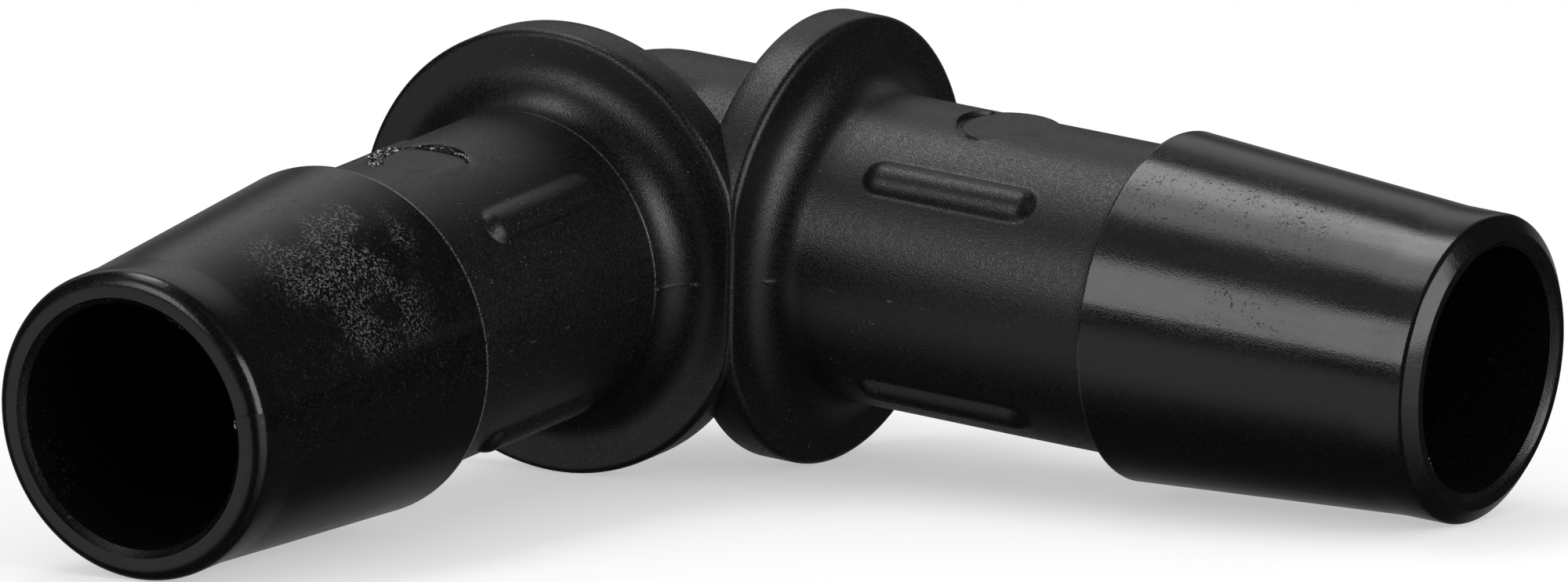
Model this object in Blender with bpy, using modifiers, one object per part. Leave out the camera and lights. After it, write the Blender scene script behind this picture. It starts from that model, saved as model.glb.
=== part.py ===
"""A moulded right-angle elbow that joins two hoses.

Each leg carries a stop flange, a neck with four short ribs and one long barb, and a straight
bore runs through both legs. The whole elbow is one piece of black plastic. It is drawn with
its legs level, along -Y and +X, and then leans forward until flanges and tips touch the floor.
"""

import math

import bpy
import bmesh
from mathutils import Matrix, Vector

MM = 0.001

# Tube
NECK_D = 15.9 * MM
WALL = 1.65 * MM
LEG_LENGTH = 49.2 * MM
MOUTH_CHAMFER = 0.35 * MM

# Stop flange, with a hollow fillet down to the neck
FLANGE_HEIGHT = 3.65 * MM
FLANGE_THICKNESS = 2.4 * MM
FLANGE_TO_BEND = 0.6 * MM
FLANGE_ROUND = 0.4 * MM
FLANGE_BACK_CHAMFER = 0.15 * MM
FILLET_RADIUS = 2.2 * MM

# Barb, from its sharp back edge to the rounded nose
BARB_HEIGHT = 1.05 * MM
BARB_LENGTH = 18.9 * MM
NOSE_LENGTH = 3.2 * MM
NOSE_CLEARANCE = 0.025 * MM
NOSE_ROUND = 0.8 * MM

# Ribs, the four long corners of a square block that stand out of the round neck
RIB_HEIGHT = 0.56 * MM
RIB_EDGE_ROUND = 0.7 * MM
RIB_TO_FLANGE = 4.3 * MM
RIB_TO_BARB = 4.55 * MM

# Ejector marks, a round flat on top of each neck
MARK_D = 5.2 * MM
MARK_SINK = 0.23 * MM
MARK_SHIFT_LEFT = 2.0 * MM
MARK_SHIFT_RIGHT = 0.0 * MM
MARK_CUT_MARGIN = 0.03 * MM

# Facets
SEGMENTS = 64
MARK_SEGMENTS = 40
SEAM = 0.001 * MM
ROUND_STEPS = 4
FILLET_STEPS = 8
BALL_STEPS = 16

COLOUR = (0.012, 0.011, 0.010, 1.0)
ROUGHNESS = 0.45
SHARP_FROM = math.radians(25)

# Sizes and places that follow from those above
NECK_R = NECK_D / 2
BORE_R = NECK_R - WALL
FLANGE_R = NECK_R + FLANGE_HEIGHT
FLANGE_BACK = NECK_R + FLANGE_TO_BEND
FLANGE_FACE = FLANGE_BACK + FLANGE_THICKNESS
FILLET_R = min(FILLET_RADIUS, FLANGE_HEIGHT - FLANGE_ROUND)
BARB_R = NECK_R + BARB_HEIGHT
BARB_BACK = LEG_LENGTH - BARB_LENGTH
NOSE_R = NECK_R - NOSE_CLEARANCE
RIB_HALF = (NECK_R + RIB_HEIGHT - RIB_EDGE_ROUND) / math.sqrt(2) + RIB_EDGE_ROUND
RIB_START = FLANGE_FACE + RIB_TO_FLANGE
RIB_END = BARB_BACK - RIB_TO_BARB
RIB_MIDDLE = (RIB_START + RIB_END) / 2
MARK_R = MARK_D / 2
MARK_TOP = NECK_R - MARK_SINK
QUARTER = math.pi / 2
OVERRUN = FLANGE_R

# The left leg runs along -Y and the right leg along +X
MARK_SHIFTS = {"left": MARK_SHIFT_LEFT, "right": MARK_SHIFT_RIGHT}


def on_leg(side, along, across=0.0, up=0.0):
    """A point on a leg, across being +X on the left leg and +Y on the right leg."""
    if side == "left":
        return Vector((across, -along, up))
    return Vector((along, across, up))


def arc(centre_r, centre_z, radius, start, end, steps=ROUND_STEPS):
    """Points (r, z) of an arc, its angles counted from +r towards +z."""
    angles = [start + (end - start) * step / steps for step in range(steps + 1)]
    return [(centre_r + radius * math.cos(a), centre_z + radius * math.sin(a)) for a in angles]


def outer_round(radius, face, size):
    """A rounded outer edge, from the end face round to the side."""
    return arc(radius - size, face - size, size, QUARTER, 0)


def neck_fillet():
    """The hollow fillet from the neck up to the flange's face."""
    return arc(
        NECK_R + FILLET_R, FLANGE_FACE + FILLET_R, FILLET_R, math.pi, math.pi + QUARTER, FILLET_STEPS
    )


def ball_end(radius):
    """The half ball round the point where the legs' axes cross, which makes the outside of the bend."""
    return arc(0, 0, radius, 0, -QUARTER, BALL_STEPS)[:-1] + [(0, -radius)]


def leg_profile():
    """The outside of a leg as (r, z), from its tip down to the ball end."""
    return (
        [(0, LEG_LENGTH)]
        + outer_round(NOSE_R, LEG_LENGTH, NOSE_ROUND)
        + [(NOSE_R, LEG_LENGTH - NOSE_LENGTH), (BARB_R, BARB_BACK), (NECK_R, BARB_BACK)]
        + neck_fillet()
        + outer_round(FLANGE_R, FLANGE_FACE, FLANGE_ROUND)
        + [(FLANGE_R, FLANGE_BACK + FLANGE_BACK_CHAMFER)]
        + [(FLANGE_R - FLANGE_BACK_CHAMFER, FLANGE_BACK), (NECK_R, FLANGE_BACK)]
        + ball_end(NECK_R)
    )


def bore_profile():
    """The bore with its chamfered mouth, from beyond the tip down to its own ball end."""
    return [
        (0, LEG_LENGTH + OVERRUN),
        (BORE_R + MOUTH_CHAMFER + OVERRUN, LEG_LENGTH + OVERRUN),
        (BORE_R, LEG_LENGTH - MOUTH_CHAMFER),
    ] + ball_end(BORE_R)


def lean_angle():
    """How far the level elbow tips forward to rest on both flanges and both tips."""
    flange = outer_round(FLANGE_R, FLANGE_FACE, FLANGE_ROUND)
    nose = outer_round(NOSE_R, LEG_LENGTH, NOSE_ROUND)
    slope = max(min((fr - nr) / (nz - fz) for nr, nz in nose) for fr, fz in flange)
    return math.asin(math.sin(math.atan(slope)) / math.cos(QUARTER / 2))


def plastic():
    material = bpy.data.materials.new("black_plastic")
    material.use_nodes = True
    shader = material.node_tree.nodes["Principled BSDF"]
    shader.inputs["Base Color"].default_value = COLOUR
    shader.inputs["Roughness"].default_value = ROUGHNESS
    return material


def add_collection(name):
    group = bpy.data.collections.new(name)
    bpy.context.scene.collection.children.link(group)
    return group


def add_object(name, mesh, group, helper=True):
    made = bpy.data.objects.new(name, mesh)
    group.objects.link(made)
    if helper:
        made.hide_render = True
        made.display_type = "WIRE"
    return made


def from_bmesh(name, shape, group):
    mesh = bpy.data.meshes.new(name)
    shape.to_mesh(mesh)
    shape.free()
    return add_object(name, mesh, group)


def add_bent(name, profile, mitre, group):
    """A body turned about the left leg's axis, cut off at the mitre plane and mirrored there."""
    mesh = bpy.data.meshes.new(name)
    edges = [(i, i + 1) for i in range(len(profile) - 1)]
    mesh.from_pydata([on_leg("left", z, r) for r, z in profile], edges, [])
    made = add_object(name, mesh, group)
    screw = made.modifiers.new("Turn", "SCREW")
    screw.axis = "Y"
    screw.angle = -math.tau
    screw.steps = SEGMENTS
    screw.render_steps = SEGMENTS
    screw.use_merge_vertices = True
    screw.merge_threshold = SEAM
    mirror = made.modifiers.new("Second leg", "MIRROR")
    mirror.mirror_object = mitre
    mirror.use_bisect_axis[0] = True
    mirror.use_bisect_flip_axis[0] = True
    mirror.merge_threshold = SEAM
    mirror.bisect_threshold = SEAM
    return made


def add_block(name, low, high, edge_round, group):
    """A block between two corners, with all its edges rounded."""
    size = [b - a for a, b in zip(low, high)]
    middle = [(a + b) / 2 for a, b in zip(low, high)]
    shape = bmesh.new()
    bmesh.ops.create_cube(shape, size=1, matrix=Matrix.Translation(middle) @ Matrix.Diagonal((*size, 1)))
    made = from_bmesh(name, shape, group)
    bevel = made.modifiers.new("Rounded edges", "BEVEL")
    bevel.width = edge_round
    bevel.segments = ROUND_STEPS


def add_upright_disc(name, radius, bottom, top, centre, group):
    shape = bmesh.new()
    bmesh.ops.create_cone(
        shape,
        cap_ends=True,
        segments=MARK_SEGMENTS,
        radius1=radius,
        radius2=radius,
        depth=top - bottom,
        matrix=Matrix.Translation(centre + Vector((0, 0, (bottom + top) / 2))),
    )
    from_bmesh(name, shape, group)


def boolean(target, name, operation, others):
    modifier = target.modifiers.new(name, "BOOLEAN")
    modifier.operation = operation
    modifier.solver = "EXACT"
    modifier.operand_type = "COLLECTION"
    modifier.collection = others


def add_corner_cut(cutters):
    """What rounds the upright edge where the two flange faces meet, inside the bend."""
    centre = FLANGE_FACE - FLANGE_ROUND
    outside = FLANGE_FACE + FLANGE_ROUND
    outline = arc(centre, centre, FLANGE_ROUND, 0, QUARTER)
    outline += [(centre, outside), (outside, outside), (outside, centre)]
    shape = bmesh.new()
    face = shape.faces.new([shape.verts.new((x, -y, -FLANGE_R)) for x, y in outline])
    raised = bmesh.ops.extrude_face_region(shape, geom=[face])["geom"]
    lifted = [item for item in raised if isinstance(item, bmesh.types.BMVert)]
    bmesh.ops.translate(shape, vec=(0, 0, 2 * FLANGE_R), verts=lifted)
    bmesh.ops.recalc_face_normals(shape, faces=shape.faces)
    from_bmesh("corner_cut", shape, cutters)


def add_ribs(side, group):
    ends = [on_leg(side, RIB_START, RIB_HALF, RIB_HALF), on_leg(side, RIB_END, -RIB_HALF, -RIB_HALF)]
    low = [min(pair) for pair in zip(*ends)]
    high = [max(pair) for pair in zip(*ends)]
    add_block(f"{side}_ribs", low, high, RIB_EDGE_ROUND, group)


def add_mark(side, shapes, cutters):
    """An ejector mark: a round stud out of the neck, cut off level together with the neck's crown."""
    centre = on_leg(side, RIB_MIDDLE + MARK_SHIFTS[side])
    top = NECK_R + OVERRUN
    add_upright_disc(f"{side}_stud", MARK_R, 0, top, centre, shapes)
    add_upright_disc(f"{side}_mark", MARK_R + MARK_CUT_MARGIN, MARK_TOP, top + OVERRUN, centre, cutters)


def build_level():
    """The whole elbow with its legs level."""
    guides = add_collection("guides")
    shapes = add_collection("ribs and studs")
    cutters = add_collection("cutters")
    mitre = add_object("mitre_plane", None, guides)
    mitre.rotation_euler.z = QUARTER / 2
    body = add_bent("level_elbow", leg_profile(), mitre, guides)
    add_bent("bore", bore_profile(), mitre, cutters)
    add_corner_cut(cutters)
    for side in MARK_SHIFTS:
        add_ribs(side, shapes)
        add_mark(side, shapes, cutters)
    boolean(body, "Ribs and studs", "UNION", shapes)
    boolean(body, "Bore and cuts", "DIFFERENCE", cutters)
    return body


def lay_down(body, parts):
    """A copy of the level elbow, leaning forward, with its box centred over the origin."""
    view_layer = bpy.context.view_layer
    view_layer.update()
    mesh = bpy.data.meshes.new_from_object(body.evaluated_get(bpy.context.evaluated_depsgraph_get()))
    lean = Matrix.Rotation(lean_angle(), 4, Vector((1, 1, 0)).normalized())
    corners = [lean @ vertex.co for vertex in mesh.vertices]
    low = Vector(min(values) for values in zip(*corners))
    high = Vector(max(values) for values in zip(*corners))
    elbow = add_object("hose_elbow", mesh, parts, helper=False)
    elbow.matrix_world = Matrix.Translation((-(low.x + high.x) / 2, -(low.y + high.y) / 2, -low.z)) @ lean
    mesh.shade_smooth()
    mesh.set_sharp_from_angle(angle=SHARP_FROM)
    mesh.materials.append(plastic())


def main():
    for old in list(bpy.data.objects):
        bpy.data.objects.remove(old)
    lay_down(build_level(), add_collection("hose elbow"))


main()
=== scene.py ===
"""Dresses a moulded right-angle hose elbow: a fine mesh of it, its torn flash and burrs, and a studio."""

import math

import bmesh
import bpy
import numpy as np
from bpy.props import FloatProperty, FloatVectorProperty, IntProperty, PointerProperty
from mathutils import Matrix, Vector


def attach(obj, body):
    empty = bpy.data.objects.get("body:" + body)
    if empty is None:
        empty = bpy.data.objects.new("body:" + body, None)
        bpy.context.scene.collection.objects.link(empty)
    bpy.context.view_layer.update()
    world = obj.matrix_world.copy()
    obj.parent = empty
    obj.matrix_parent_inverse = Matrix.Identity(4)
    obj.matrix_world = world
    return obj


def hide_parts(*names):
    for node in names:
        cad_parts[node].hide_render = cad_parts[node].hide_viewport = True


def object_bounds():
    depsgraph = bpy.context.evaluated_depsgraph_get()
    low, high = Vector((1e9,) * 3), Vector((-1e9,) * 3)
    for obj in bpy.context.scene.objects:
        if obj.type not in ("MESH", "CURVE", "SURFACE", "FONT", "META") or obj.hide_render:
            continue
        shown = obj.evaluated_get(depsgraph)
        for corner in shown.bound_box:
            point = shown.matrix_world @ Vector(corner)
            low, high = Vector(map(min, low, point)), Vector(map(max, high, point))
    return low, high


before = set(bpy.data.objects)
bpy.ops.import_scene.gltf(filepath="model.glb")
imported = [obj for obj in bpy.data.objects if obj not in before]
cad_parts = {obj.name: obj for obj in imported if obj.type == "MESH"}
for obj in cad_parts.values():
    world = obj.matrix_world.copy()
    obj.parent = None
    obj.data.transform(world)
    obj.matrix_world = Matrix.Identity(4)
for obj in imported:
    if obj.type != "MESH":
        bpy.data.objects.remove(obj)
CAD_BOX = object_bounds()

bl_info = {
    "name": "Hose elbow",
    "version": (1, 0, 0),
    "blender": (4, 5, 0),
    "location": "3D View > Sidebar > Hose elbow",
    "description": "Builds a moulded right-angle hose elbow and the studio it lies in",
    "category": "Object",
}

MM = 0.001
NODE = "hose_elbow"
BODY = "root"
SEAM = 0.002 * MM  # points closer than this are one


def length(name, description, default):
    """A length property, its default in millimetres."""
    return FloatProperty(name=name, description=description, default=default * MM, unit="LENGTH", precision=5)


def bearing(name, description, default):
    """An angle property, its default in degrees."""
    return FloatProperty(name=name, description=description, default=math.radians(default), subtype="ANGLE")


def share(name, description, default):
    """A factor property between zero and one."""
    return FloatProperty(name=name, description=description, default=default, min=0, max=1, subtype="FACTOR")


def power(name, description, default):
    """A lamp's power property, in watts."""
    return FloatProperty(name=name, description=description, default=default, min=0, unit="POWER")


def paint(name, description, default):
    """A colour property."""
    return FloatVectorProperty(name=name, description=description, default=default, subtype="COLOR")


class ElbowSizes(bpy.types.PropertyGroup):
    neck: length("Neck diameter", "Round neck that the hose grips", 15.9)
    wall: length("Wall", "Thickness of the tube's wall", 1.65)
    leg: length("Leg length", "From the crossing of the two axes to a tip", 49.2)
    flange_height: length("Flange height", "How far the stop flange stands out of the neck", 3.65)
    flange_thickness: length("Flange thickness", "Thickness of the stop flange", 2.4)
    flange_to_bend: length("Flange to bend", "Gap between a flange's back and the other neck", 0.6)
    flange_round: length("Flange round", "Rounding of the flange's front edge", 0.4)
    flange_back_round: length("Flange back round", "Rounding of the flange's back edge", 0.15)
    fillet_radius: length("Fillet radius", "Hollow fillet between the neck and the flange", 2.2)
    foot: length("Inner corners", "Rounding of the moulding's inner corners", 0.15)
    barb_height: length("Barb height", "How far the barb's back edge stands out of the neck", 1.05)
    barb_length: length("Barb length", "From the barb's back edge to the tip", 18.9)
    barb_edge: length("Barb edge", "Rounding of the barb's back edge", 0.05)
    nose_length: length("Nose length", "Straight stretch at the tip, with its round", 3.2)
    nose_clearance: length("Nose clearance", "How far the nose lies under the neck's surface", 0.025)
    nose_round: length("Nose round", "Rounding of the tip", 0.8)
    mouth_chamfer: length("Mouth chamfer", "Chamfer at the bore's mouth", 0.35)
    rib_height: length("Rib height", "How far a rib stands out of the neck", 0.46)
    rib_round: length("Rib round", "Rounding of a rib's edges", 1.2)
    rib_foot: length("Rib foot", "Softness of the corner where a rib meets the neck", 0.06)
    rib_to_flange: length("Rib to flange", "From the flange's face to the ribs", 4.3)
    rib_to_barb: length("Rib to barb", "From the ribs to the barb's back edge", 4.55)
    mark: length("Mark diameter", "Round flat left by an ejector pin", 5.2)
    mark_sink: length("Mark depth", "How far the flat lies under the neck's crown", 0.23)
    mark_shift_left: length("Left mark shift", "Shift of the left mark towards the tip", 2.8)
    mark_shift_right: length("Right mark shift", "Shift of the right mark towards the tip", 0.0)
    mark_groove: length("Mark groove", "Depth of the groove along a mark's rim", 0.13)
    parting_height: length("Parting line height", "Bead where the two mould halves met", 0.035)
    parting_width: length("Parting line width", "Half width of that bead", 0.07)
    ring_height: length("Witness ring height", "Thin ring in front of the fillet", 0.03)
    ring_width: length("Witness ring width", "Half width of that ring", 0.055)
    ring_place: length("Witness ring place", "From the crossing of the axes to the ring", 13.35)
    score_height: length("Score line height", "Fine line along the left barb", 0.012)
    uneven: length("Unevenness", "Slight waves of the moulded surface", 0.006)


class ElbowFinish(bpy.types.PropertyGroup):
    colour: paint("Plastic", "Colour of the black plastic", (0.0016, 0.0015, 0.0014))
    # This pale colour is used for the scuffs and dust, and also for the painted highlights along edges and
    # lines.
    dust_and_highlight: paint("Scuffs", "Colour of scuffs and dust", (0.11, 0.11, 0.11))
    torn: paint("Torn plastic", "Colour of the plastic where it tore", (0.42, 0.42, 0.42))
    matte: share("Matte roughness", "Roughness of the grained hub and necks", 0.37)
    polished: share("Barb roughness", "Roughness of the polished barbs", 0.18)
    grain: length("Grain height", "Height of the fine grain on hub and necks", 0.013)
    pit: length("Pit depth", "Depth of the pits in the barbs' polish", 0.02)


class ElbowFlash(bpy.types.PropertyGroup):
    thickness: length("Flash thickness", "Thickness of the torn flash at a mark", 0.2)
    tear: length("Tear thickness", "Thickness of the torn patch beside it", 0.3)
    burr: length("Burr thickness", "Thickness of the burrs in the mouths", 0.09)
    wander: length("Wander", "How far torn flash strays from its path", 0.07)
    pitch: length("Pitch", "Distance between two points of the flash", 0.13)
    seed: IntProperty(name="Seed", description="Seed of the flash's raggedness", default=4)


class StudioSettings(bpy.types.PropertyGroup):
    camera_bearing: bearing("Camera bearing", "Bearing of the camera from the bend's middle line", -12.8118)
    camera_height: bearing("Camera elevation", "Camera's angle above the plane of the legs", 16.5772)
    camera_roll: bearing("Camera roll", "Camera's turn about its own line of sight", 1.3731)
    camera_distance: length("Camera distance", "From the crossing of the axes to the camera", 1261.853)
    camera_right: length("Camera shift right", "Camera's place to the right of the crossing", 6.0111)
    camera_up: length("Camera shift up", "Camera's place above the crossing", -4.4474)
    focal: FloatProperty(name="Focal length", description="Lens for a 36 mm wide sensor", default=566.78)
    backdrop: share("Backdrop", "Brightness of the white backdrop", 1.0)
    room: share("Room", "Brightness of the dim room as the plastic mirrors it", 0.03)
    fill: share("Fill", "Brightness of the even light from all round", 0.8)
    top: power("Top softbox", "Power of the front half of the softbox overhead", 0.9)
    back: power("Back softbox", "Power of the back half of the softbox overhead", 1.7)
    side: power("Side softbox", "Power of the softbox on the left", 2.2)
    front: power("Front softbox", "Power of the softbox in front", 4.9)


class HoseElbow(bpy.types.PropertyGroup):
    sizes: PointerProperty(type=ElbowSizes, name="Sizes", description="Sizes of the elbow")
    finish: PointerProperty(type=ElbowFinish, name="Finish", description="Colours and surface of the plastic")
    flash: PointerProperty(type=ElbowFlash, name="Flash", description="Torn flash and burrs")
    studio: PointerProperty(type=StudioSettings, name="Studio", description="Camera and light")


class Places:
    """Radii, and places along a leg, that follow from the elbow's sizes."""

    def __init__(self, s):
        self.neck = s.neck / 2
        self.bore = self.neck - s.wall
        self.flange = self.neck + s.flange_height
        self.back = self.neck + s.flange_to_bend
        self.face = self.back + s.flange_thickness
        self.fillet_end = self.face + s.fillet_radius
        self.barb = self.neck + s.barb_height
        self.barb_back = s.leg - s.barb_length
        self.nose = self.neck - s.nose_clearance
        self.nose_start = s.leg - s.nose_length
        self.rib_start = self.face + s.rib_to_flange
        self.rib_end = self.barb_back - s.rib_to_barb
        self.rib_middle = (self.rib_start + self.rib_end) / 2
        self.mark_top = self.neck - s.mark_sink
        self.marks = {
            "left": self.rib_middle + s.mark_shift_left,
            "right": self.rib_middle + s.mark_shift_right,
        }


# Lines of the fine mesh. A leg is a grid of rows along its profile and columns around its axis, with angles
# in degrees from the inside of the bend towards the top. Lines are closer where the shape is finer.

MARK_PATCH = 1.31  # half of the square of grid lines that bends round a mark, against the mark's radius
MARK_LINES = (0, 0.14, 0.28, 0.42, 0.53, 0.6, 0.64, 0.67, 0.695, 0.72, 0.74, 0.765, 0.8, 0.85, 0.92, 1)
MARK_EDGE = 0.72  # the line that becomes the mark's rim
RIB_LINES = (0, 1.1, 2.2, 3.3, 4.4, 5.4, 6.1, 6.55, 7, 7.7, 8.8)
RIB_END_LINES = (-0.5, -0.22, -0.08, 0.05, 0.15, 0.3, 0.48, 0.7, 0.9, 1.15)  # against the rib's round
PARTING_LINES = (0, 0.25, 0.5, 0.8, 1.5)
RING_LINES = (0, 0.045, 0.09, 0.16)  # in mm
SCORE_LINES = (0, 0.2, 0.5)
COLUMN_PITCH = 2.9
COLUMN_LEAST = 0.05
HUB_PITCH = 2.2 * MM
FLANGE_PITCH = 1.2 * MM
RIM_PITCH = 0.7 * MM
FACE_PITCH = 0.5 * MM
NECK_PITCH = 0.95 * MM
BARB_PITCH = 0.85 * MM
NOSE_PITCH = 0.8 * MM
TIP_PITCH = 0.25 * MM
BORE_PITCH = 6 * MM
BALL_STEPS = 20
BORE_STEPS = 8
FOOT_STEPS = 3
FLANGE_STEPS = 6
FILLET_STEPS = 18
BARB_STEPS = 2
NOSE_STEPS = 9
CORNER_STEPS = 6
REST_STEPS = 4
RING_ROWS = 3  # rows of the flat ring at a tip
PATH_STEP = 2.5
SHARP_FROM = 38

# Marks that the mould left, in degrees and in mm. Angles on an ejector mark go from the tip's side round by
# the inside of the bend.

MARK_BLEND = {"left": (22, 140, 12), "right": (22, 98, 12)}  # from, to and softness of the missing rim
MARK_BLEND_FROM = 0.55  # against the mark's radius
MARK_GROOVES = {  # from, to and softness of the groove at the rim, half width and its gain at the bend
    "left": ((124, 345, 8), 0.14, 0.2),
    "right": ((112, 222, 9), 0.09, 0.06),
}
FLASH_ARCS = ((0.1, 132, 335),)  # how far inside the left mark's rim, from and to
TEAR_ARCS = ((0.15, 236, 333), (0.42, 242, 329), (0.7, 250, 323))
MOUTH_BURRS = {"right": ((-40, 60),), "left": ((8, 18), (62, 78))}
SLANT = 55  # slope of the right tip's edge
SLANT_START = 0.77 * MM
SLANT_ROUNDS = (0.35 * MM, 0.2 * MM)
SCORE_AT = 15
SCORE_HALF = 0.35
SEEDS = {"left": 11, "right": 23}
PARTING_BASE = {"left": 0.55, "right": 0.15}
PARTING_MEET = 0.5  # what both legs' beads have where the legs meet
PARTING_ON_BARB = 0.35
NICKS = {  # burrs on the parting line: place along the leg and reach, and height against the bead's
    "left": ((11.3, 0.1, 1.4), (12.4, 0.25, 0.9), (13.2, 0.08, 1.6), (15.4, 0.3, 0.4), (19.3, 0.1, 0.8),
             (21.5, 0.1, 0.6), (24.6, 0.13, 1.2), (26.8, 0.1, 0.8)),
    "right": ((11.7, 0.16, 2), (14.9, 0.3, 0.3), (16, 0.05, 1.1), (18.45, 0.07, 2), (19.3, 0.1, 0.9),
              (20.6, 0.12, 0.5), (25.6, 0.06, 0.4)),
}

# Worn patches on the barbs: how each joins the ones before it, and its strength, then from, to and softness
# along the leg in mm, and the same round it in degrees

SCUFFS = {
    "left": ((np.add, 1, 33, 42.3, 1.6, 44, 76, 5), (np.maximum, 0.6, 34.5, 41.3, 1.5, 20, 60, 7)),
    "right": ((np.add, 0.4, 37, 42, 1.5, 44, 62, 4),),
}
PITS = {
    "left": ((np.add, 0.35, 31, 47, 1, -10, 120, 10),),
    "right": ((np.add, 0.55, 30.5, 42, 1.5, 43, 76, 3), (np.add, 0.45, 30.5, 42, 1.5, 58, 72, 3),
              (np.maximum, 1, 38.2, 40.6, 0.5, 42, 54, 3), (np.add, 0.35, 37, 41, 1, 12, 44, 4)),
}
BORE_POLISH = 0.35
FAR_SIDE_MATTE = 0.2  # how much less polish the left barb has away from the bend

# Noise in the finish: scale per metre, detail and roughness

PATTERNS = {
    "grain": (14000, 0, 0.5),
    "coarse grain": (5200, 1, 0.5),
    "clouds": (160, 3, 0.5),
    "scuffed patches": (420, 3, 0.5),
    "specks": (6000, 1, 0.5),
    "scratches": (3300, 3, 0.75),
    "breaks in scratches": (6500, 1, 0.5),
    "cracks": (5600, 3, 0.75),
    "cracked patches": (1300, 1, 0.5),
    "streaks": (2600, 3, 0.6),
    "torn spots": (3500, 3, 0.7),
}
SPARKLE_SCALE = 12500


def arc(centre_t, centre_r, radius, start, end, steps):
    """Points (along, out) of an arc, its angles in degrees from outwards towards the tip."""
    turns = np.radians(np.linspace(start, end, steps + 1))
    return list(zip(centre_t + radius * np.sin(turns), centre_r + radius * np.cos(turns)))


def span(start, end, pitch):
    """Values after the start and up to the end, no further apart than the pitch."""
    steps = max(1, math.ceil(abs(end - start) / pitch - 1e-6))
    return list(np.linspace(start, end, steps + 1)[1:])


def filled(lines, pitch, least):
    """The lines in order, without any closer than the least gap, and with more in between where needed."""
    kept = []
    for line in sorted(lines):
        if not kept:
            kept = [line]
        elif line - kept[-1] >= least:
            kept += span(kept[-1], line, pitch)
    return kept


def smooth_step(value, low, high):
    part = np.clip((value - low) / (high - low), 0, 1)
    return part * part * (3 - 2 * part)


def band(value, low, high, soft):
    """One between two values and zero beyond them, with soft edges."""
    return smooth_step(value, low - soft, low + soft) * (1 - smooth_step(value, high - soft, high + soft))


def both_ways(lines):
    """Each distance on both sides of a middle."""
    return [sign * line for line in lines for sign in (-1, 1)]


def columns(s, p):
    """The angles of a leg's columns, in radians."""
    reach = s.mark / 2 * MARK_PATCH / p.neck
    lines = [90 - math.degrees(math.asin(line * reach)) for line in both_ways(MARK_LINES)]
    lines += [45 + 90 * corner + line for corner in range(4) for line in both_ways(RIB_LINES)]
    lines += [180 * side + line for side in range(3) for line in both_ways(PARTING_LINES)]
    lines += [SCORE_AT + line for line in both_ways(SCORE_LINES)]
    lines = [line for line in lines if 0 <= line <= 360]
    return np.radians(filled(lines, COLUMN_PITCH, COLUMN_LEAST)[:-1])


def neck_rows(s, p, side):
    """Rows of the neck, drawn together at the ring, the ribs' ends and the mark."""
    ring = [s.ring_place + step * MM for step in both_ways(RING_LINES)]
    ends = [p.rib_start + step * s.rib_round for step in RIB_END_LINES]
    ends += [p.rib_end - step * s.rib_round for step in RIB_END_LINES]
    mark = [p.marks[side] + line * s.mark / 2 * MARK_PATCH for line in both_ways(MARK_LINES)]
    ends = [line for line in ends if min(abs(line - other) for other in mark) > 0.03 * MM]
    stop = p.barb_back - s.foot
    return [(t, p.neck) for t in filled(ring + ends + mark + [stop], NECK_PITCH, 0.01 * MM)]


def nose_rows(s, p, side):
    """The tip's edge: a quarter round on the left leg, and flatter in its middle on the right one."""
    if side == "left":
        return arc(s.leg - s.nose_round, p.nose - s.nose_round, s.nose_round, 0, 90, NOSE_STEPS)[1:]
    first, last = SLANT_ROUNDS
    steep = math.radians(SLANT)
    rows = arc(s.leg - SLANT_START, p.nose - first, first, 0, SLANT, 5)[1:]
    centre = s.leg - last
    low = rows[-1][1] - (centre + last * math.sin(steep) - rows[-1][0]) * math.tan(steep)
    return rows + arc(centre, low - last * math.cos(steep), last, SLANT, 90, 4)


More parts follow.
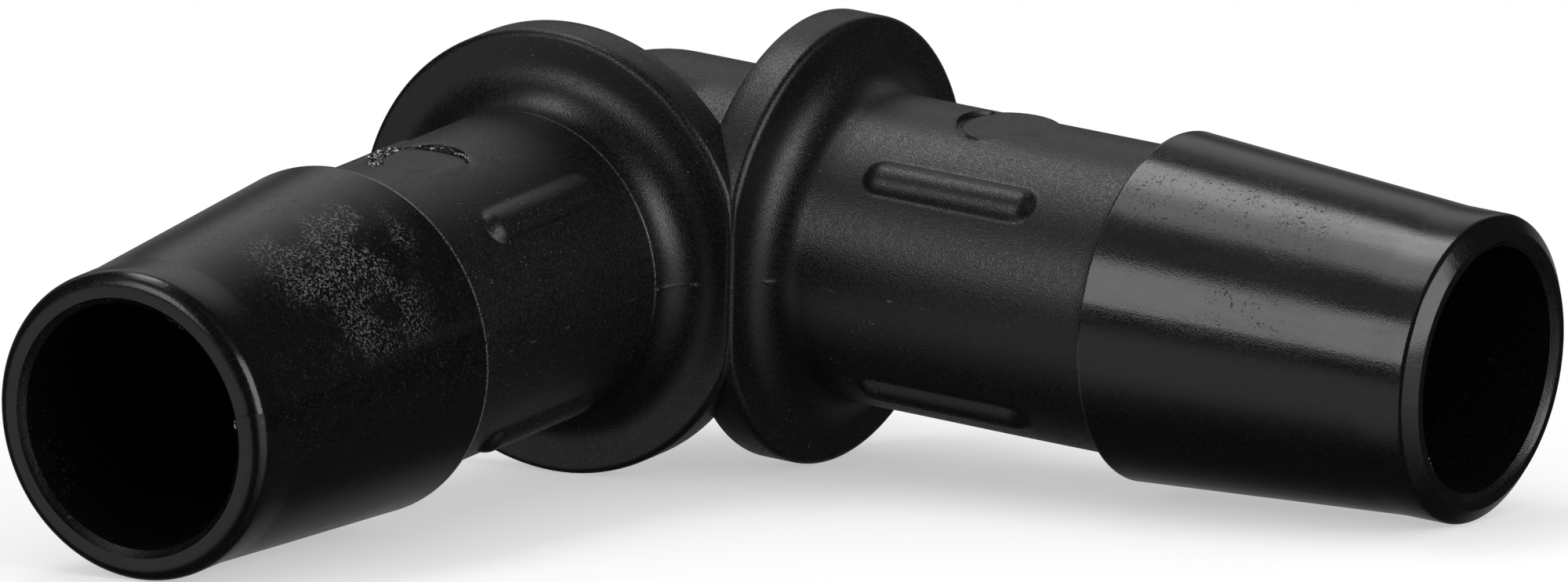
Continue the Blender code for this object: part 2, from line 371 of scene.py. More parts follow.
def leg_rows(s, p, side):
    """A leg's profile as (along, out), from the pole of the outer ball to the pole of the inner one."""
    back, front, fillet = s.flange_back_round, s.flange_round, s.fillet_radius
    foot, edge = s.foot, s.barb_edge
    rows = arc(0, 0, p.neck, -90, 0, BALL_STEPS)
    rows += [(t, p.neck) for t in span(0, p.back - foot, HUB_PITCH)]
    rows += arc(p.back - foot, p.neck + foot, foot, 180, 90, FOOT_STEPS)[1:]
    rows += [(p.back, r) for r in span(p.neck + foot, p.flange - back, FLANGE_PITCH)]
    rows += arc(p.back + back, p.flange - back, back, -90, 0, FOOT_STEPS)[1:]
    rows += [(t, p.flange) for t in span(p.back + back, p.face - front, RIM_PITCH)]
    rows += arc(p.face - front, p.flange - front, front, 0, 90, FLANGE_STEPS)[1:]
    rows += [(p.face, r) for r in span(p.flange - front, p.neck + fillet, FACE_PITCH)]
    rows += arc(p.fillet_end, p.neck + fillet, fillet, -90, -180, FILLET_STEPS)[1:]
    rows += neck_rows(s, p, side)
    rows += arc(p.barb_back - foot, p.neck + foot, foot, 180, 90, FOOT_STEPS)[1:]
    rows += [(p.barb_back, r) for r in span(p.neck + foot, p.barb - edge, FACE_PITCH)]
    rows += arc(p.barb_back + edge, p.barb - edge, edge, -90, 0, BARB_STEPS)[1:]
    slope = (p.barb - p.nose) / (p.nose_start - p.barb_back)
    near = 0.12 * MM
    first = p.barb_back + 0.2 * MM
    for t in [first] + span(first, p.nose_start - near, BARB_PITCH):
        rows.append((t, p.barb - (t - p.barb_back) * slope))
    rows += [(p.nose_start + near, p.nose)]
    rows += [(t, p.nose) for t in span(p.nose_start + near, s.leg - s.nose_round, NOSE_PITCH)]
    rows += nose_rows(s, p, side)
    rows += [(s.leg, r) for r in span(rows[-1][1], p.bore + s.mouth_chamfer, TIP_PITCH)]
    rows += [(s.leg - s.mouth_chamfer / 2, p.bore + s.mouth_chamfer / 2)]
    rows += [(t, p.bore) for t in [s.leg - s.mouth_chamfer] + span(s.leg - s.mouth_chamfer, 0, BORE_PITCH)]
    rows += arc(0, 0, p.bore, 0, -90, BORE_STEPS)[1:]
    return np.array(rows)


# Shape of the neck, the ribs and the marks


def rib_radius(s, p, along, around):
    """Distance from the axis to a block with rounded edges, whose four long corners are the ribs."""
    core = (p.neck + s.rib_height - s.rib_round) / math.sqrt(2)
    beyond = np.maximum(np.abs(along - p.rib_middle) - (p.rib_end - p.rib_middle - s.rib_round), 0)
    rounding = np.sqrt(np.maximum(s.rib_round**2 - beyond**2, 0))
    aside = np.abs(np.mod(around, math.pi / 2) - math.pi / 4)
    side = core + rounding
    diagonal = core * math.sqrt(2)
    corner = diagonal * np.cos(aside) + np.sqrt(np.maximum(rounding**2 - (diagonal * np.sin(aside)) ** 2, 0))
    flat = side / np.cos(math.pi / 4 - aside)
    radius = np.where(side * np.tan(math.pi / 4 - aside) < core, flat, corner)
    return np.where(beyond < s.rib_round, radius, 0)


def soft_max(a, b, softness):
    """The greater of two heights, with the corner between them filled."""
    share_a = np.clip(0.5 + 0.5 * (a - b) / softness, 0, 1)
    return b + (a - b) * share_a + softness * share_a * (1 - share_a)


def press_mark(s, p, side, along, across, up):
    """Bends the grid lines round the ejector mark into a circle, and sinks what lies inside it."""
    radius = s.mark / 2
    reach = radius * MARK_PATCH
    u = (along - p.marks[side]) / reach
    v = across / reach
    size = np.maximum(np.abs(u), np.abs(v))
    patch = (size <= 1 + 1e-4) & (up > 0) & (along > p.fillet_end) & (along < p.barb_back - s.foot / 2)
    patch &= np.hypot(across, up) < p.neck + s.foot / 4
    away = np.maximum(np.hypot(u, v), 1e-9)
    inside = size <= MARK_EDGE + 1e-4
    out = np.clip((size - MARK_EDGE) / (1 - MARK_EDGE), 0, 1)
    scale_in = size / MARK_EDGE * radius / away
    scale_out = (1 - out) * radius / away + out * reach / np.maximum(size, 1e-9)
    scale = np.where(inside, scale_in, scale_out)
    new_across = v * scale
    crown = np.sqrt(np.maximum(p.neck**2 - new_across**2, 0))
    turn = np.degrees(np.mod(np.arctan2(v, u), math.tau))
    blend = smooth_step(np.hypot(new_across, u * scale) / radius, MARK_BLEND_FROM, 1)
    blend = blend * band(turn, *MARK_BLEND[side])
    floor = p.mark_top + blend * (crown - p.mark_top)
    new_up = np.where(inside, floor, crown)
    along = np.where(patch, p.marks[side] + u * scale, along)
    return along, np.where(patch, new_across, across), np.where(patch, new_up, up)


def waver(x, seed, pitch):
    """A smooth random-looking value between about -1 and 1 along x, from a few waves."""
    rng = np.random.default_rng(seed)
    waves = [(rng.uniform(0.5, 2.2), rng.uniform(0, math.tau)) for _ in range(7)]
    return sum(np.sin(x / pitch * rate + phase) for rate, phase in waves) / 3


def hump(away, reach):
    """A smooth hump of height one that has all but gone at twice its reach."""
    return np.exp(-((away / reach) ** 2))


def nicks(side, along):
    """How high the burrs on the parting line stand, against its bead."""
    return sum(height * hump(along - spot * MM, reach * MM) for spot, reach, height in NICKS[side])


def mark_groove(s, p, side, along, across):
    """Share of its full depth that the groove along a mark's rim has, widest towards the bend."""
    along = along - p.marks[side]
    away = np.maximum(np.hypot(along, across), 1e-9)
    hubward = np.clip(-along / away, 0, 1) ** 2
    turn = np.degrees(np.mod(np.arctan2(across, along), math.tau))
    reach, narrow, gain = MARK_GROOVES[side]
    wide = (narrow + gain * hubward) * MM
    middle = s.mark / 2 - 0.4 * wide * hubward
    return band(turn, *reach) * hump(away - middle, wide)


def relief(s, p, side, along, across, up, outer):
    """Height of the fine raised lines and of the slight unevenness of the moulded surface."""
    around = np.arctan2(up, across)
    far = np.clip((along - p.face) / (4 * MM), 0, 1)
    own = SEEDS[side]
    bead = PARTING_BASE[side] * (0.7 + 0.5 * waver(along, own, 0.5 * MM)) + nicks(side, along)
    bead = PARTING_MEET + (bead - PARTING_MEET) * smooth_step(along, p.face, p.face + 0.3 * MM)
    on_barb = along > p.barb_back + s.foot
    bead = np.where(on_barb, bead * PARTING_ON_BARB, bead)
    height = s.parting_height * np.clip(bead, 0, 3) * hump(up, s.parting_width)
    height = height - s.mark_groove * mark_groove(s, p, side, along, across) * (up > 0)
    if side == "left":
        ring = s.ring_height * hump(along - s.ring_place, s.ring_width)
        height = height + ring * np.clip(0.7 + 0.5 * waver(around, own + 1, 0.4), 0, 1.4)
        score = s.score_height * hump(np.degrees(around) - SCORE_AT, SCORE_HALF)
        height = height + np.where(on_barb, score, 0)
    uneven = waver(along, own + 2, 4 * MM) * waver(around, own + 3, 0.55)
    height = height + s.uneven * uneven * far
    return height * outer


def leg_grid(s, p, side):
    """A leg as arrays: the place of each row and column, its angle, and whether it is outside the bore."""
    rows, turns = leg_rows(s, p, side), columns(s, p)
    along = np.repeat(rows[:, :1], len(turns), axis=1)
    out = np.repeat(rows[:, 1:], len(turns), axis=1)
    around = np.repeat(turns[None, :], len(rows), axis=0)
    tip = int(np.argmax(rows[:, 0] >= s.leg - 1e-9))
    outer = (np.arange(len(rows)) < tip + RING_ROWS)[:, None]
    neck = (along > p.fillet_end) & (along < p.barb_back - s.foot / 2) & outer
    ribbed = soft_max(rib_radius(s, p, along, around), out, s.rib_foot)
    out = np.where(neck, np.maximum(ribbed, out), out)
    across, up = out * np.cos(around), out * np.sin(around)
    level = (out > p.neck - s.foot) & outer
    pressed = press_mark(s, p, side, along, across, up)
    along, across, up = (np.where(level, new, old) for new, old in zip(pressed, (along, across, up)))
    place = np.stack([along, across, up], axis=-1)
    down = np.gradient(place, axis=0)
    aside = np.roll(place, -1, axis=1) - np.roll(place, 1, axis=1)
    normal = np.cross(aside, down)
    normal /= np.maximum(np.linalg.norm(normal, axis=-1, keepdims=True), 1e-12)
    height = relief(s, p, side, along, across, up, outer)
    height[[0, -1]] = 0
    place = place + normal * height[..., None]
    return place, around, outer


def to_level(side, place):
    """From along, across and up on a leg to the level elbow, whose legs run along -Y and +X."""
    along, across, up = place[..., 0], place[..., 1], place[..., 2]
    if side == "left":
        return np.stack([across, -along, up], axis=-1)
    return np.stack([along, -across, up], axis=-1)


# Place of the elbow


def lean_angle(s, p):
    """How far the level elbow tips forward to rest on both flanges and both tips."""
    flange = arc(p.face - s.flange_round, p.flange - s.flange_round, s.flange_round, 90, 0, REST_STEPS)
    nose = arc(s.leg - s.nose_round, p.nose - s.nose_round, s.nose_round, 90, 0, REST_STEPS)
    slope = max(min((fr - nr) / (nt - ft) for nt, nr in nose) for ft, fr in flange)
    return math.asin(math.sin(math.atan(slope)) * math.sqrt(2))


def to_row(s, p, level_points):
    """From the level elbow to where the solid model lies, with its box centred over the origin."""
    lean = Matrix.Rotation(lean_angle(s, p), 4, Vector((1, 1, 0)).normalized())
    leaned = level_points @ np.array(lean.to_3x3()).T
    low, high = leaned.min(axis=0), leaned.max(axis=0)
    cad_low, cad_high = (np.array(corner) for corner in CAD_BOX)
    shift = (cad_low + cad_high) / 2 - (low + high) / 2
    shift[2] = cad_low[2] - low[2]
    return Matrix.Translation(shift) @ lean


def elbow_place(s, p):
    grids = [to_level(side, leg_grid(s, p, side)[0]).reshape(-1, 3) for side in p.marks]
    return to_row(s, p, np.concatenate(grids))


# Mesh of the elbow


def worn_patches(along, turn, patches):
    """How strongly the patches cover each point."""
    cover = 0
    for join, strength, start, end, soft, low, high, blur in patches:
        patch = band(along, start * MM, end * MM, soft * MM) * band(turn, low, high, blur)
        cover = join(cover, strength * patch)
    return cover


def masks(s, p, side, place, around, outer):
    """Where the surface is polished, scuffed and pitted, and where a highlight is painted on its edges and
    lines.
    """
    along = place[..., 0]
    turn = np.degrees(np.mod(around + math.pi, math.tau) - math.pi)
    radius = np.hypot(place[..., 1], place[..., 2])
    step = (radius > p.neck + s.foot) & (along > p.barb_back - s.foot)
    barb = ((along > p.barb_back + 0.02 * MM) | step) & outer
    polish = np.where(outer, np.where(barb, 1.0, 0.0), BORE_POLISH)
    # edge is a painted highlight: pale colour along the barb's back edge, where its rounding catches the
    # light.
    edge = band(along, p.barb_back - 0.03 * MM, p.barb_back + 0.1 * MM, 0.04 * MM) * band(turn, -45, 88, 10)
    # line is a painted highlight: pale colour on the parting line's bead at its burrs.
    line = np.clip(nicks(side, along) * 0.6, 0, 1) * hump(place[..., 2], 0.06 * MM) * (place[..., 1] > 0)
    if side == "left":
        polish = polish - FAR_SIDE_MATTE * barb * band(turn, 74, 190, 6)
        # On the left leg the painted highlight also runs along the witness ring, over its upper side.
        ring = band(along, s.ring_place - 0.04 * MM, s.ring_place + 0.04 * MM, 0.03 * MM)
        worn = np.maximum(edge, 0.8 * ring * band(turn, -8, 92, 8))
    else:
        # The right barb's back edge gets a fainter painted highlight.
        worn = 0.15 * edge
    return {
        "polish": polish,
        "scuff": worn_patches(along, turn, SCUFFS[side]) * barb,
        "pits": worn_patches(along, turn, PITS[side]) * barb,
        "worn": np.maximum(worn, line) * outer,
    }


def to_mesh(shape, name):
    mesh = bpy.data.meshes.new(name)
    shape.to_mesh(mesh)
    shape.free()
    return mesh


def add_object(name, data):
    thing = bpy.data.objects.new(name, data)
    bpy.context.scene.collection.objects.link(thing)
    return thing


def add_attribute(mesh, name, kind, values):
    field = "vector" if kind == "FLOAT_VECTOR" else "value"
    mesh.attributes.new(name, kind, "POINT").data.foreach_set(field, values.astype(np.float32).ravel())


def leg_mesh(s, p, side):
    """One leg as a bmesh, cut off at the mitre plane."""
    place, around, outer = leg_grid(s, p, side)
    rows, cols = around.shape
    index = np.arange(rows * cols).reshape(rows, cols)
    beside = np.roll(index, -1, axis=1)
    quads = np.stack([index[:-1], beside[:-1], beside[1:], index[1:]], axis=-1).reshape(-1, 4)
    if side == "right":
        quads = quads[:, ::-1]
    mesh = bpy.data.meshes.new(side)
    mesh.from_pydata(to_level(side, place).reshape(-1, 3), [], quads.tolist())
    for name, values in masks(s, p, side, place, around, outer).items():
        add_attribute(mesh, name, "FLOAT", values)
    spread = np.stack([place[..., 0], around * p.neck, np.full_like(around, side == "left")], axis=-1)
    add_attribute(mesh, "leg_place", "FLOAT_VECTOR", spread)
    shape = bmesh.new()
    shape.from_mesh(mesh)
    bpy.data.meshes.remove(mesh)
    shape.verts.ensure_lookup_table()
    poles = [shape.verts[i] for i in index[[0, -1]].ravel()]
    bmesh.ops.remove_doubles(shape, verts=poles, dist=SEAM)
    outward = (1, 1, 0) if side == "left" else (-1, -1, 0)
    cut = {"dist": 1e-8, "plane_co": (0, 0, 0), "plane_no": outward, "clear_outer": True}
    bmesh.ops.bisect_plane(shape, geom=shape.verts[:] + shape.edges[:] + shape.faces[:], **cut)
    return shape


def round_corner(shape, s, p):
    """Rounds the upright edge where the two flange faces meet, inside the bend."""
    start = p.face - s.flange_round
    limit = start - 2 * MM
    for along in (Vector((1, 0, 0)), Vector((0, -1, 0))):
        for step in range(CORNER_STEPS):
            cut = start + s.flange_round * math.sin(math.pi / 4 * step / CORNER_STEPS) * math.sqrt(2)
            near = [f for f in shape.faces if f.calc_center_median().x > limit]
            near = [f for f in near if f.calc_center_median().y < -limit]
            geom = set(near) | {e for f in near for e in f.edges} | {v for f in near for v in f.verts}
            bmesh.ops.bisect_plane(shape, geom=list(geom), dist=1e-7, plane_co=along * cut, plane_no=along)
    for vert in shape.verts:
        a, b = vert.co.x - start, -vert.co.y - start
        if a > 0 and b > 0:
            scale = max(a, b) / math.hypot(a, b)
            vert.co.x, vert.co.y = start + a * scale, -start - b * scale


def elbow_mesh(s, p):
    """The whole moulding, closed, in its place."""
    whole = bmesh.new()
    for side in p.marks:
        mesh = to_mesh(leg_mesh(s, p, side), side)
        whole.from_mesh(mesh)
        bpy.data.meshes.remove(mesh)
    rims = [vert for vert in whole.verts if vert.is_boundary]
    bmesh.ops.remove_doubles(whole, verts=rims, dist=SEAM)
    if any(len(edge.link_faces) != 2 for edge in whole.edges):
        raise RuntimeError("the two legs don't join into one closed skin")
    round_corner(whole, s, p)
    whole.transform(elbow_place(s, p))
    mesh = to_mesh(whole, "elbow_moulding")
    mesh.shade_smooth()
    mesh.set_sharp_from_angle(angle=math.radians(SHARP_FROM))
    return mesh


# Materials


class Nodes:
    """Adds nodes to a tree and links them, each input being a value or another node's output."""

    def __init__(self, tree):
        self.tree = tree

    def add(self, kind, options=None, **inputs):
        node = self.tree.nodes.new(kind)
        for name, value in (options or {}).items():
            setattr(node, name, value)
        for name, value in inputs.items():
            socket = node.inputs[int(name[1:])] if name[0] == "_" else node.inputs[name.replace("_", " ")]
            if isinstance(value, bpy.types.NodeSocket):
                self.tree.links.new(value, socket)
            else:
                socket.default_value = value
        return node

    def math(self, operation, a, b=0.0, clamp=False):
        return self.add("ShaderNodeMath", {"operation": operation, "use_clamp": clamp}, _0=a, _1=b).outputs[0]

    def times(self, *factors):
        product = factors[0]
        for factor in factors[1:]:
            product = self.math("MULTIPLY", product, factor)
        return product

    def plus(self, *terms, clamp=False):
        total = terms[0]
        for term in terms[1:-1]:
            total = self.math("ADD", total, term)
        return self.math("ADD", total, terms[-1], clamp)

    def minus(self, a, b):
        return self.math("SUBTRACT", a, b)

    def ramp(self, value, low, high, to_low=0.0, to_high=1.0):
        options = {"interpolation_type": "SMOOTHSTEP"}
        node = self.add("ShaderNodeMapRange", options, _0=value, _1=low, _2=high, _3=to_low, _4=to_high)
        return node.outputs[0]

    def noise(self, where, pattern):
        scale, detail, roughness = PATTERNS[pattern]
        node = self.add("ShaderNodeTexNoise", Vector=where, Scale=scale, Detail=detail, Roughness=roughness)
        return node.outputs["Fac"]

    def attribute(self, name, output="Fac"):
        return self.add("ShaderNodeAttribute", {"attribute_name": name}).outputs[output]

    def blend(self, share_b, a, b):
        node = self.add("ShaderNodeMix", {"data_type": "RGBA"}, _0=share_b)
        colours = [socket for socket in node.inputs if socket.type == "RGBA"]
        for socket, value in zip(colours, (a, b)):
            if isinstance(value, bpy.types.NodeSocket):
                self.tree.links.new(value, socket)
            else:
                socket.default_value = (*value, 1)
        return next(socket for socket in node.outputs if socket.type == "RGBA")


def new_material(name):
    material = bpy.data.materials.new(name)
    material.use_nodes = True
    shader = material.node_tree.nodes["Principled BSDF"]
    return material, Nodes(material.node_tree), shader


def moulded_plastic(finish):
    """Black plastic, finely grained on hub and necks and polished on the barbs, with pits, scuffs and painted
    highlights.
    """
    material, n, shader = new_material("moulded_black_plastic")
    where = n.add("ShaderNodeTexCoord").outputs["Object"]
    polish, scuff, pits, worn = (n.attribute(name) for name in ("polish", "scuff", "pits", "worn"))
    matte = n.minus(1.0, polish)
    grain = n.noise(where, "grain")
    coarse = n.noise(where, "coarse grain")
    cells = n.add("ShaderNodeTexVoronoi", Vector=where, Scale=SPARKLE_SCALE).outputs["Color"]
    sparkle = n.minus(n.add("ShaderNodeSeparateXYZ", Vector=cells).outputs["X"], 0.5)
    cloud = n.noise(where, "clouds")
    patches = n.ramp(n.noise(where, "scuffed patches"), 0.4, 0.54)
    specks = n.ramp(n.noise(where, "specks"), 0.7, 0.78)
    scratches = n.math("ABSOLUTE", n.minus(n.noise(where, "scratches"), 0.5))
    scratches = n.ramp(scratches, 0.0, 0.05, 1.0, 0.0)
    scratches = n.times(scratches, n.ramp(n.noise(where, "breaks in scratches"), 0.43, 0.63), 1.7)
    cracks = n.ramp(n.noise(where, "cracks"), 0.6, 0.66)
    cracks = n.times(cracks, n.ramp(n.noise(where, "cracked patches"), 0.42, 0.6))
    leg_place = n.attribute("leg_place", "Vector")
    stretched = n.add("ShaderNodeMapping", Vector=leg_place, Scale=(0.12, 1, 1)).outputs[0]
    streaks = n.noise(stretched, "streaks")
    scuffed = n.times(scuff, n.plus(n.times(scratches, patches), n.times(specks, 0.5), clamp=True))
    dusty = n.times(matte, specks, n.ramp(cloud, 0.45, 0.65), 0.7)
    # Painted highlight: pale colour along the barbs' back edges, the witness ring and the parting line's
    # burrs, broken up by the grain.
    painted_highlight_lines = n.times(worn, n.ramp(grain, 0.38, 0.58))
    speckle = n.math("MAXIMUM", n.times(sparkle, 0.05), 0.0)
    # The pale colour holds real scuffs, dust and random specks, and also the painted highlights.
    pale = n.plus(n.times(scuffed, 1.1), dusty, painted_highlight_lines, speckle, clamp=True)
    colour = n.blend(pale, tuple(finish.colour), tuple(finish.dust_and_highlight))
    n.tree.links.new(colour, shader.inputs["Base Color"])
    rough = n.plus(
        n.ramp(polish, 0, 1, finish.matte, finish.polished),
        n.times(n.minus(cloud, 0.5), 0.12),
        n.times(n.minus(streaks, 0.5), polish, 0.16),
        n.times(sparkle, n.ramp(polish, 0, 1, 0.2, 0.08)),
        n.times(pits, cracks, 0.5),
        n.times(scuffed, 0.3),
        clamp=True,
    )
    n.tree.links.new(rough, shader.inputs["Roughness"])
    height = n.plus(
        n.times(n.ramp(polish, 0, 1, 1.0, 0.3), grain, finish.grain),
        n.times(coarse, matte, finish.grain * 0.2),
        n.times(pits, cracks, -finish.pit),
        n.times(scuffed, finish.pit * 0.5),
        n.times(streaks, polish, finish.grain * 0.12),
    )
    bump = n.add("ShaderNodeBump", Distance=1.0, Strength=1.0, Height=height)
    n.tree.links.new(bump.outputs[0], shader.inputs["Normal"])
    return material


def torn_plastic(finish):
    """The same plastic where it tore, paler and rough."""
    material, n, shader = new_material("torn_black_plastic")
    where = n.add("ShaderNodeTexCoord").outputs["Object"]
    white = n.ramp(n.noise(where, "torn spots"), 0.5, 0.62)
    colour = n.blend(white, tuple(finish.colour), tuple(finish.torn))
    n.tree.links.new(colour, shader.inputs["Base Color"])
    shader.inputs["Roughness"].default_value = 0.5
    return material


# Torn flash and burrs

THREAD_SIDES = 6
THINNEST = 0.15  # against the thread's full thickness


def flash_tree(material):
    """A ragged thread of plastic along a path: its points stray, and its thickness comes and goes."""
    tree = bpy.data.node_groups.new("torn_flash", "GeometryNodeTree")
    face = tree.interface
    face.new_socket("Path", in_out="INPUT", socket_type="NodeSocketGeometry")
    for name in ("Thickness", "Wander", "Pitch"):
        face.new_socket(name, in_out="INPUT", socket_type="NodeSocketFloat")
    face.new_socket("Seed", in_out="INPUT", socket_type="NodeSocketInt")
    face.new_socket("Flash", in_out="OUTPUT", socket_type="NodeSocketGeometry")
    n = Nodes(tree)
    given = n.add("NodeGroupInput").outputs
    path = n.add("GeometryNodeMeshToCurve", Mesh=given["Path"]).outputs[0]
    even = {"mode": "LENGTH"}
    count = n.add("GeometryNodeResampleCurve", even, Curve=path, Length=given["Pitch"]).outputs[0]
    free = {"data_type": "FLOAT_VECTOR"}
    jitter = n.add("FunctionNodeRandomValue", free, _0=(-1, -1, -1), _1=(1, 1, 1), Seed=given["Seed"])
    stray = n.add("ShaderNodeVectorMath", {"operation": "SCALE"}, _0=jitter.outputs[0], Scale=given["Wander"])
    moved = n.add("GeometryNodeSetPosition", Geometry=count, Offset=stray.outputs[0]).outputs[0]
    other = n.plus(given["Seed"], 7.0)
    size = n.add("FunctionNodeRandomValue", {"data_type": "FLOAT"}, _2=THINNEST, _3=1.0, Seed=other)
    ring = n.add("GeometryNodeCurvePrimitiveCircle", Resolution=THREAD_SIDES)
    n.tree.links.new(n.times(given["Thickness"], 0.5), ring.inputs["Radius"])
    tube = n.add("GeometryNodeCurveToMesh", Curve=moved, Profile_Curve=ring.outputs[0], Fill_Caps=True)
    n.tree.links.new(size.outputs[1], tube.inputs["Scale"])
    real = n.add("GeometryNodeRealizeInstances", Geometry=tube.outputs[0]).outputs[0]
    done = n.add("GeometryNodeSetMaterial", Geometry=real, Material=material).outputs[0]
    out = tree.nodes.new("NodeGroupOutput")
    tree.links.new(done, out.inputs[0])
    return tree


def flash_piece(name, paths, tree, values):
    """Runs the flash tree over the paths, each a list of points in the row frame, and keeps a plain mesh."""
    guide = bpy.data.meshes.new(name + "_path")
    points, edges = [], []
    for path in paths:
        edges += [(len(points) + i, len(points) + i + 1) for i in range(len(path) - 1)]
        points += path
    guide.from_pydata(points, edges, [])
    carrier = add_object(name + "_path", guide)
    modifier = carrier.modifiers.new("Flash", "NODES")
    modifier.node_group = tree
    for item in tree.interface.items_tree:
        if item.item_type == "SOCKET" and item.name in values:
            modifier[item.identifier] = values[item.name]
    carrier.update_tag()
    bpy.context.view_layer.update()
    graph = bpy.context.evaluated_depsgraph_get()
    mesh = bpy.data.meshes.new_from_object(carrier.evaluated_get(graph))
    bpy.data.objects.remove(carrier)
    bpy.data.meshes.remove(guide)
    if not mesh.polygons:
        raise RuntimeError(name + " came out empty")
    mesh.name = name
    mesh.shade_smooth()
    return add_piece(name, mesh)


def add_piece(name, mesh):
    piece = add_object(name, mesh)
    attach(piece, BODY)
    return piece


def arc_path(place, side, centre, radius, start, end, flat):
    """Points of an arc on a leg: flat on a mark's rim, or round the leg's axis in its mouth."""
    points = []
    for turn in np.radians(np.arange(start, end, PATH_STEP)):
        if flat:
            local = (centre[0] + radius * math.cos(turn), radius * math.sin(turn), centre[1])
        else:
            local = (centre[0], radius * math.cos(turn), radius * math.sin(turn))
        level = to_level(side, np.array(local))
        points.append(place @ Vector(level))
    return points


# Operators


class HOSE_OT_moulding(bpy.types.Operator):
    """Builds the whole moulding as one closed fine mesh and shows it instead of the solid model"""

    bl_idname = "hose.moulding"
    bl_label = "Moulding"

    def execute(self, context):
        s = context.scene.hose_elbow
        mesh = elbow_mesh(s.sizes, Places(s.sizes))
        mesh.materials.append(moulded_plastic(s.finish))
        piece = add_piece("elbow_moulding", mesh)
        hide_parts(NODE)
        return {"FINISHED"}


class HOSE_OT_flash(bpy.types.Operator):
    """Adds the torn flash round the left ejector mark and the burrs in the mouths"""

    bl_idname = "hose.flash"
    bl_label = "Flash and burrs"

    def execute(self, context):
        s = context.scene.hose_elbow
        p = Places(s.sizes)
        place = elbow_place(s.sizes, p)
        tree = flash_tree(torn_plastic(s.finish))
        thin = {"Thickness": s.flash.thickness, "Wander": s.flash.wander, "Pitch": s.flash.pitch}
        thin["Seed"] = s.flash.seed
        wide = thin | {"Thickness": s.flash.tear, "Seed": s.flash.seed + 2}
        mark = (p.marks["left"], p.mark_top)
        for name, arcs, values in (("mark_flash", FLASH_ARCS, thin), ("mark_tear", TEAR_ARCS, wide)):
            torn = [
                arc_path(place, "left", mark, s.sizes.mark / 2 - inward * MM, start, end, True)
                for inward, start, end in arcs
            ]
            flash_piece(name, torn, tree, values)
        mouth = (s.sizes.leg - s.sizes.mouth_chamfer, 0)
        burrs = [
            arc_path(place, side, mouth, p.bore, start, end, False)
            for side, arcs in MOUTH_BURRS.items()
            for start, end in arcs
        ]
        small = thin | {"Thickness": s.flash.burr, "Wander": s.flash.burr / 2, "Seed": s.flash.seed + 1}
        flash_piece("mouth_burrs", burrs, tree, small)
        return {"FINISHED"}


# Studio. Bearings are in degrees from straight behind the elbow, as the camera sees it.

SOFTBOXES = (  # name, bearing and height in degrees, width and height in metres, and the move aside
    ("top", 61, 70, (0.375, 0.3), 0.1875),
    ("back", 61, 70, (0.375, 0.3), -0.1875),
    ("side", 126, 21, (0.4, 0.5), 0),
    ("front", -125, 18, (0.72, 0.62), 0),
)
LAMP_DISTANCE = 1
MIRRORED = (  # bearing, half width, and for each angle above the horizon how bright the plastic mirrors it
    (0, 31, (
        (-90, 0.04), (-50, 0.05), (-40, 0.1), (-30, 0.15), (-20, 0.2), (-4, 0.22), (5, 0.18), (10, 0.08),
        (18, 0.1), (24, 0.35), (29, 0.62), (42, 0.62), (46, 0.3), (56, 0.2), (90, 0.1),
    )),
    (120, 28, (
        (-90, 0.04), (-50, 0.05), (-42, 0.15), (-36, 0.4), (-30, 0.52), (-10, 0.57), (-5, 0.3), (-2, 0.07),
        (3, 0.05), (34, 0.05), (40, 0.3), (56, 0.3), (62, 0.1), (90, 0.1),
    )),
    (-125, 24, (
        (-90, 0.04), (-50, 0.1), (-35, 0.4), (-20, 0.8), (-2, 0.9), (3, 0.3), (12, 0.1), (90, 0.1),
    )),
)
MIRRORED_EDGE = (0.6, 1.6)  # where such a side starts to fade and has gone, against its half width
FLOOR_REACH = 6
FLOOR_FADE = (0.02, 0.12, 0.45, 1.0)  # from and to in metres from the origin, and the white at each


def camera_axes(studio):
    """The camera's right, up and back directions over the level elbow."""
    turn, rise, roll = studio.camera_bearing, studio.camera_height, studio.camera_roll
    back = Vector((math.sin(turn) * math.cos(rise), -math.cos(turn) * math.cos(rise), math.sin(rise)))
    right = Vector((math.cos(turn), math.sin(turn), 0))
    up = back.cross(right)
    along, across = math.cos(roll), math.sin(roll)
    rolled = (along * right + across * up, along * up - across * right, back)
    middle = Matrix.Rotation(math.pi / 4, 3, "Z")
    return [middle @ axis for axis in rolled]


def add_camera(studio, place):
    right, up, back = camera_axes(studio)
    spot = back * studio.camera_distance + right * studio.camera_right + up * studio.camera_up
    matrix = Matrix((right, up, back)).transposed().to_4x4()
    matrix.translation = spot
    data = bpy.data.cameras.new("camera")
    data.sensor_width = 36
    data.lens = studio.focal
    data.clip_end = 100
    camera = add_object("camera", data)
    camera.matrix_world = place @ matrix
    bpy.context.scene.camera = camera
    return camera


def add_softbox(name, bearing_deg, height_deg, size, aside, watts):
    """A rectangular lamp that faces the elbow, moved aside along its width."""
    turn, rise = math.radians(bearing_deg), math.radians(height_deg)
    spot = Vector((math.cos(turn) * math.cos(rise), math.sin(turn) * math.cos(rise), math.sin(rise)))
    spot *= LAMP_DISTANCE
    data = bpy.data.lights.new(name, "AREA")
    data.shape = "RECTANGLE"
    data.size, data.size_y = size
    data.energy = watts
    lamp = add_object(name, data)
    facing = spot.to_track_quat("Z", "Y")
    lamp.location = spot + facing @ Vector((aside, 0, 0))
    lamp.rotation_euler = facing.to_euler()


